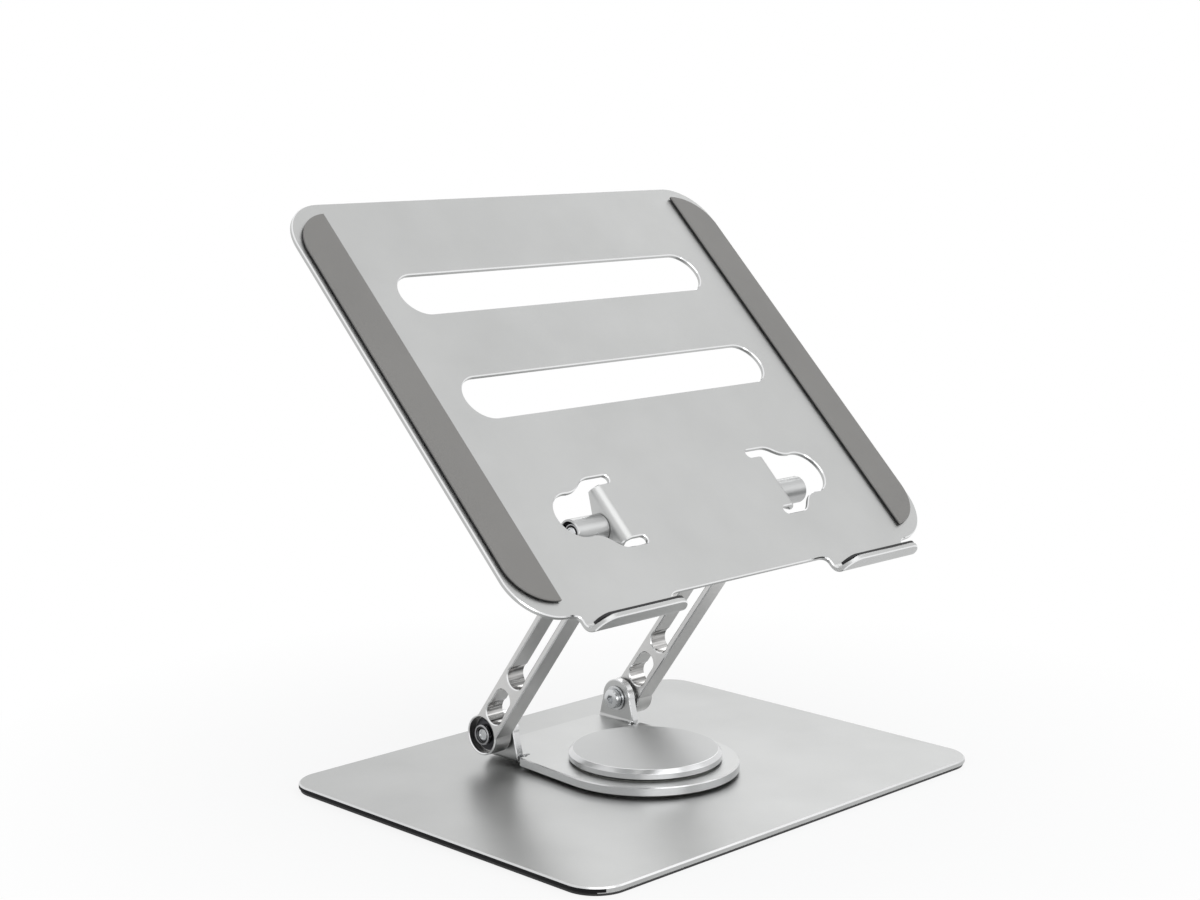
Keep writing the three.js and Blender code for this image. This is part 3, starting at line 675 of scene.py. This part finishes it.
def arm_bar():
    foot = math.acos(ARM_HALF / ARM_FOOT)
    outline = smooth_arc(0, 0, ARM_FOOT, math.pi - foot, 2 * math.pi + foot)
    outline += [(ARM_HALF, ARM_LENGTH - ARM_TAPER)]
    outline += smooth_arc(0, ARM_LENGTH, ARM_HEAD, 0, math.pi)
    outline += [(-ARM_HALF, ARM_LENGTH - ARM_TAPER)]
    openings = [keyhole(low, top) for low, top in KEYHOLES]
    bar = prism("arm", outline, openings, ARM_INNER_X, ARM_OUTER_X, ARM_RIM)
    moved(painted(bar, 2, in_round_hole), ALONG_X)
    foot_bore = bore_along_x(30, 70, STRAIGHT)
    head_bore = bore_along_x(30, 70, Matrix.Translation((0, 0, ARM_LENGTH)))
    return moved(carved(bar, [foot_bore, head_bore, recess_cutter()]), ARM_FRAME)


# The round holes' walls take material 2, with its painted reflection stripes
dressed_pair(arm_bar(), "arm_bar", "arms", "arm", "aluminium", bright_blasted, cut_edge, reflection_striped_bore)


# Hinge hardware: each maker takes an outer radius and where the CAD piece begins and ends along X
def bolt(radius, head_x, end_x):
    """A bolt with a domed head, a hexagon socket in it and a dimple in its end."""
    neck_x = head_x + BOLT_HEAD_HEIGHT
    socket_x = head_x + SOCKET_DEPTH
    body = turned("bolt", [
        (0, head_x), (radius - 1.4, head_x), (radius - 0.5, head_x + 0.35), (radius, head_x + 1.1),
        (radius, neck_x), (BOLT_RADIUS, neck_x), (BOLT_RADIUS, end_x - 0.4), (BOLT_RADIUS - 0.4, end_x),
        (BOLT_RADIUS - 0.85, end_x), (BOLT_RADIUS - 1.1, end_x - 0.5), (0, end_x - 0.5)], 64)
    socket = turned("cutter", [(0, head_x - 1), (SOCKET_RADIUS, head_x - 1), (SOCKET_RADIUS, socket_x),
                               (0, socket_x)], 6)
    return carved(moved(body, ALONG_X), [moved(socket, ALONG_X)])


def washer(radius, low_x, high_x):
    edge = min(0.15, (high_x - low_x) / 3)
    return moved(turned("washer", [
        (BOLT_HOLE, low_x), (radius - edge, low_x), (radius, low_x + edge), (radius, high_x - edge),
        (radius - edge, high_x), (BOLT_HOLE, high_x)], 72), ALONG_X)


def disc_spring(radius, low_x, _):
    """A coned ring, its outer edge lower than its hole."""
    return moved(turned("spring", [
        (BOLT_HOLE, low_x + SPRING_CONE), (radius, low_x), (radius, low_x + SPRING_GAUGE),
        (BOLT_HOLE, low_x + SPRING_CONE + SPRING_GAUGE)], 64), ALONG_X)


def lock_nut(radius, low_x, _):
    """A hexagon under a round collar. The ring inside the collar's rim is the insert, material 1."""
    hexagon_x = low_x + NUT_HEXAGON
    high_x = low_x + NUT_HEIGHT
    collar_radius = radius * 0.97
    insert_radius = radius * 0.8
    hexagon = turned("nut", [(0, low_x), (radius, low_x), (radius, hexagon_x - 0.2),
                             (radius - 0.4, hexagon_x), (0, hexagon_x)], 6)
    collar = turned("collar", [
        (0, hexagon_x - 0.5), (collar_radius, hexagon_x - 0.5), (collar_radius, high_x - 0.3),
        (collar_radius - 0.3, high_x), (insert_radius + 0.1, high_x), (insert_radius, high_x - 0.4),
        (0, high_x - 0.4)], 64)
    bore = turned("bore", [(0, low_x - 1), (BOLT_HOLE, low_x - 1), (BOLT_HOLE, high_x + 1),
                           (0, high_x + 1)], 64)
    carved(hexagon, [collar], "UNION")
    carved(hexagon, [bore])

    def on_insert(face):
        centre = face.center / MM
        return centre.xy.length < insert_radius and centre.z > high_x - 0.5

    return moved(painted(hexagon, 1, on_insert), ALONG_X)


HARDWARE = [
    ("lower", "turntable", LOWER, [
        ("hinge_bolt", bolt, 5, steel), ("head_washer", washer, 6.3, steel),
        ("friction_washer", washer, 8, washer_steel), ("recess_washer", washer, 8.2, dark_steel),
        ("disc_spring", disc_spring, 6.6, dark_steel), ("lock_nut", lock_nut, 5.2, nut_steel)]),
    ("upper", "arms", UPPER, [
        ("hinge_bolt", bolt, 5, steel), ("head_washer", washer, 6.3, steel),
        ("friction_washer", washer, 6, dark_steel), ("spacer_sleeve", washer, 4.6, dark_steel),
        *[(f"disc_spring_{i}", disc_spring, 5.1, dark_steel) for i in (1, 2, 3, 4)],
        ("lock_nut", lock_nut, 4.6, nut_steel)]),
]
for level, body, place, kinds in HARDWARE:
    for kind, make, radius, look in kinds:
        low_corner, high_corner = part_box(f"{level}_{kind}_right")
        piece = moved(make(radius, low_corner.x / MM, high_corner.x / MM), place)
        slot_name = "dark_steel" if look in (dark_steel, washer_steel) else "steel"
        dressed_pair(piece, f"{level}_{kind}_round", body, f"{level}_{kind}", slot_name, look, black_rubber)


# Tray: one flat sheet with its lips and tabs laid out, then bent
def lip_outline(x, lip_end):
    """The tray's front edge from one flare of a lip to the other, the lip laid out."""
    left, right = x - LIP_WIDTH / 2, x + LIP_WIDTH / 2
    flare_low = TRAY_FRONT - LIP_FLARE_DEPTH
    points = [(left - LIP_FLARE, TRAY_FRONT)]
    points += curve((left - LIP_FLARE, TRAY_FRONT), (left, TRAY_FRONT), (left, flare_low))
    points += smooth_arc(left + LIP_CORNER, lip_end + LIP_CORNER, LIP_CORNER, math.pi, 1.5 * math.pi)
    points += smooth_arc(right - LIP_CORNER, lip_end + LIP_CORNER, LIP_CORNER, 1.5 * math.pi, 2 * math.pi)
    points += [(right, flare_low)]
    points += curve((right, flare_low), (right, TRAY_FRONT), (right + LIP_FLARE, TRAY_FRONT))
    return points


def cut_out(tab_start, tab_quarter, tab_axis):
    """The opening round the right tab: a slot along each of its sides, and a round notch beyond its end."""
    low, high = TAB_FRONT - 2 * TAB_TIP, TAB_BACK + 2 * TAB_TIP
    tip_x = tab_start - TAB_TIP_INSET
    near_y, far_y = NOTCH_Y - NOTCH_RADIUS, NOTCH_Y + NOTCH_RADIUS
    around = smooth_arc(NOTCH_X, NOTCH_Y, NOTCH_RADIUS, -NOTCH_OPENING, NOTCH_OPENING)
    points = smooth_arc(tip_x, TAB_FRONT - TAB_TIP, TAB_TIP, math.pi / 2, 1.5 * math.pi)
    points += [(TAB_OUTER_X, low)]
    points += curve(points[-1], (NOTCH_NECK_X, low), (NOTCH_NECK_X, near_y), around[0])
    points += around
    points += curve(around[-1], (NOTCH_NECK_X, far_y), (NOTCH_NECK_X, high), (TAB_OUTER_X, high))
    points += smooth_arc(tip_x, TAB_BACK + TAB_TIP, TAB_TIP, math.pi / 2, 1.5 * math.pi)
    points += [(tab_start + tab_quarter, TAB_BACK)]
    points += smooth_arc(tab_axis, 0, TAB_RADIUS, math.pi / 2, -math.pi / 2)
    points += [(tab_start + tab_quarter, TAB_FRONT)]
    return points


def vent(from_front):
    y = TRAY_FRONT + from_front
    return rounded(-VENT_HALF_LENGTH, y - VENT_HALF_WIDTH, VENT_HALF_LENGTH, y + VENT_HALF_WIDTH,
                   [VENT_HALF_WIDTH] * 4)


def tray_sheet():
    thickness = TRAY_TOP - TRAY_LOW
    rear = TRAY_FRONT + TRAY_DEPTH
    corner_x = TRAY_WIDTH / 2 - TRAY_CORNER
    lip_start = TRAY_FRONT - LIP_REACH + LIP_BEND + thickness
    lip_quarter = (LIP_BEND + thickness / 2) * math.pi / 2
    lip_end = lip_start - lip_quarter - (LIP_RISE - LIP_BEND)
    tab_start = TAB_OUTER_X - TAB_BEND - thickness
    tab_quarter = (TAB_BEND + thickness / 2) * math.pi / 2
    tab_axis = tab_start + tab_quarter + TRAY_LOW - TAB_BEND

    outline = smooth_arc(-corner_x, TRAY_FRONT + TRAY_CORNER, TRAY_CORNER, math.pi, 1.5 * math.pi)
    outline += lip_outline(-LIP_X, lip_end) + lip_outline(LIP_X, lip_end)
    outline += smooth_arc(corner_x, TRAY_FRONT + TRAY_CORNER, TRAY_CORNER, 1.5 * math.pi, 2 * math.pi)
    outline += smooth_arc(corner_x, rear - TRAY_CORNER, TRAY_CORNER, 0, math.pi / 2)
    outline += smooth_arc(-corner_x, rear - TRAY_CORNER, TRAY_CORNER, math.pi / 2, math.pi)
    hole = cut_out(tab_start, tab_quarter, tab_axis)
    holes = [hole, [(-x, y) for x, y in hole], *[vent(from_front) for from_front in VENTS]]
    sheet = prism("tray", outline, holes, TRAY_LOW, TRAY_TOP, TRAY_RIM)

    def on_tab(x, y):
        s = abs(x) - tab_start
        slope = max(0, min(1, (s - tab_quarter) / (tab_axis - tab_start - tab_quarter)))
        low = TAB_FRONT + slope * (-TAB_RADIUS - TAB_FRONT)
        high = TAB_BACK + slope * (TAB_RADIUS - TAB_BACK)
        return s <= tab_axis - tab_start + TAB_RADIUS + 0.1 and low - 0.2 <= y <= high + 0.2

    lip_cuts = [lip_start - lip_quarter * i / LIP_BEND_STEPS for i in range(LIP_BEND_STEPS + 1)]
    sliced(sheet, (0, 1, 0), lip_cuts)
    sliced(sheet, (1, 0, 0), side_cuts(tab_start, tab_quarter))
    bent(sheet, lambda x, y: True, -lip_start, (0, -1), LIP_BEND, thickness, TRAY_TOP, 1)
    for side in (1, -1):
        bent(sheet, on_tab, tab_start, (side, 0), TAB_BEND, thickness, TRAY_LOW, -1)
    return moved(mended(carved(sheet, [bore_along_x(-70, 70, STRAIGHT)])), TRAY_FRAME)


dressed(shaded(tray_sheet()), "tray_sheet", "tray", ["tray"], "aluminium", tray_finish, cut_edge)

# Barrels: closed but for the bolt's hole at the inner end, hollow and open at the outer one
inner_floor = BARREL_INNER_X + BARREL_FLOOR
barrel = turned("barrel", [
    (BOLT_HOLE, BARREL_INNER_X), (BARREL_RADIUS, BARREL_INNER_X), (BARREL_RADIUS, BARREL_OUTER_X - 0.35),
    (BARREL_RADIUS - 0.3, BARREL_OUTER_X), (BARREL_INSIDE + 0.2, BARREL_OUTER_X),
    (BARREL_INSIDE, BARREL_OUTER_X - 0.3), (BARREL_INSIDE, inner_floor), (BOLT_HOLE, inner_floor)], 96)
moved(barrel, TRAY_FRAME @ ALONG_X)
dressed_pair(barrel, "hinge_barrel", "tray", "upper_barrel", "aluminium", machined)


# Side pads: grey, with black low edges
def side_pad():
    right = TRAY_WIDTH / 2 - PAD_MARGIN
    corner = TRAY_CORNER - PAD_MARGIN
    centre = right - corner
    low = TRAY_FRONT + PAD_END_MARGIN
    high = TRAY_FRONT + TRAY_DEPTH - PAD_END_MARGIN
    meet = math.acos((right - PAD_WIDTH - centre) / corner)
    outline = smooth_arc(centre, low + corner, corner, -meet, 0)
    outline += smooth_arc(centre, high - corner, corner, 0, meet)
    pad = prism("pad", outline, [], TRAY_TOP + PAD_LOW, TRAY_TOP + PAD_HIGH, PAD_RIM, ROUND_STEPS)
    sliced(pad, (0, 0, 1), [TRAY_TOP + PAD_DARK_TOP])

    def low_edge(face):
        return face.center.z < (TRAY_TOP + PAD_DARK_TOP) * MM and abs(face.normal.z) < 0.99

    return moved(painted(pad, 1, low_edge, other=0), TRAY_FRAME)


dressed_pair(side_pad(), "edge_pad", "tray", "side_pad", "grey_rubber", grey_rubber, black_rubber)


# Rubber facings of the lips, drawn flat and set upright inside them
def lip_facing():
    side = LIP_WIDTH / 2 - FACING_MARGIN
    low = TRAY_TOP + FACING_LOW
    high = TRAY_TOP + LIP_RISE - FACING_MARGIN
    y = TRAY_FRONT - LIP_REACH + (TRAY_TOP - TRAY_LOW) + FACING_GAP + FACING_THICKNESS
    outline = rounded(LIP_X - side, low, LIP_X + side, high, FACING_CORNERS)
    facing = prism("facing", outline, [], 0, FACING_THICKNESS, FACING_RIM, ROUND_STEPS)
    return moved(facing, TRAY_FRAME @ Matrix.Translation((0, y, 0)) @ UPRIGHT)


dressed_pair(lip_facing(), "lip_facing", "tray", "lip_pad", "black_rubber", black_rubber, black_rubber)

# Floor, world, lamps and camera, all in metres
FLOOR_SIZE = 60
# The floor's glow is weaker near the stand, where its shadow lies, and ends in the backdrop's white
GLOW_NEAR, GLOW_FAR = 0.14, 0.36
GLOW_LEAST = 0.84
LAMPS = (
    ("key", (-0.3, -0.85, 1.3), (0, 0, 0.1), (1.5, 1.3), 5.5),
    ("low_front", (-0.5, -1.1, 0.3), (0, 0, 0.03), (1.1, 0.3), 2),
    ("fill", (0.9, -1.1, 0.9), (0, 0, 0.1), (1.2, 1.0), 2),
    ("back", (0.92, 0.53, 0.75), (0, 0, 0.05), (0.8, 0.5), 1.4),
)
CAMERA_PLACE = Vector((-0.7378, -0.7052, 0.3294))
YAW = math.radians(45.05)
PITCH = math.radians(9.3)
FOCAL_PIXELS = 2168.6
PHOTO_WIDTH = 1200
SENSOR_WIDTH = 36

scene = bpy.context.scene
scene.view_settings.view_transform = "Standard"


def seen_directly(tree):
    """1 for rays from the camera and for those in reflections and glass, else 0."""
    rays = added(tree, "LightPath").outputs
    seen = calculated(tree, "MAXIMUM", rays["Is Camera Ray"], rays["Is Glossy Ray"])
    return calculated(tree, "MAXIMUM", seen, rays["Is Transmission Ray"])


def mixed(tree, share, first, second, end):
    """Mixes two shaders by a share and sends the result to the tree's end."""
    mix = added(tree, "MixShader")
    for output, socket in zip((share, first.outputs[0], second.outputs[0]), mix.inputs):
        tree.links.new(output, socket)
    tree.links.new(mix.outputs[0], tree.nodes[end].inputs["Surface"])


world = bpy.data.worlds.new("studio")
scene.world = world
world.use_nodes = True
sky = world.node_tree
lit = set_sockets(sky.nodes["Background"], {"Color": (0.86, 0.88, 0.9, 1), "Strength": 0.6})
white = added(sky, "Background", Color=(1, 1, 1, 1), Strength=1)
mixed(sky, seen_directly(sky), lit, white, "World Output")

bpy.ops.mesh.primitive_plane_add(size=FLOOR_SIZE, location=(0, 0, 0))
floor = bpy.context.object
floor.name = "floor"
floor_look = bpy.data.materials.new("floor_white")
floor_tree, floor_shader = nodes_of(floor_look)
set_sockets(floor_shader, {"Base Color": (0.9, 0.9, 0.9, 1), "Roughness": 0.6})
glow = added(floor_tree, "Emission", Color=(1, 1, 1, 1), Strength=1)
floor_place = added(floor_tree, "TexCoord")
distance = added(floor_tree, "VectorMath")
distance.operation = "LENGTH"
fade = added(floor_tree, "MapRange", From_Min=GLOW_NEAR, From_Max=GLOW_FAR, To_Min=GLOW_LEAST, To_Max=1)
floor_tree.links.new(floor_place.outputs["Object"], distance.inputs[0])
floor_tree.links.new(distance.outputs["Value"], fade.inputs["Value"])
glow_share = calculated(floor_tree, "MULTIPLY", seen_directly(floor_tree), fade.outputs["Result"])
mixed(floor_tree, glow_share, floor_shader, glow, "Material Output")
floor.data.materials.append(floor_look)


def aimed(obj, place, along):
    """Puts a lamp or camera in its place, looking along a direction."""
    obj.location = place
    obj.rotation_euler = along.to_track_quat("-Z", "Y").to_euler()
    scene.collection.objects.link(obj)


for name, place, target, size, watts in LAMPS:
    lamp = bpy.data.lights.new(name, "AREA")
    lamp.shape = "RECTANGLE"
    lamp.size, lamp.size_y = size
    lamp.energy = watts
    aimed(bpy.data.objects.new(name, lamp), place, Vector(target) - Vector(place))

lens = bpy.data.cameras.new("camera")
lens.sensor_width = SENSOR_WIDTH
lens.sensor_fit = "HORIZONTAL"
lens.lens = FOCAL_PIXELS / PHOTO_WIDTH * SENSOR_WIDTH
lens.clip_start = 0.05
camera = bpy.data.objects.new("camera", lens)
look_along = Vector((math.sin(YAW) * math.cos(PITCH), math.cos(YAW) * math.cos(PITCH), -math.sin(PITCH)))
aimed(camera, CAMERA_PLACE, look_along)
scene.camera = camera
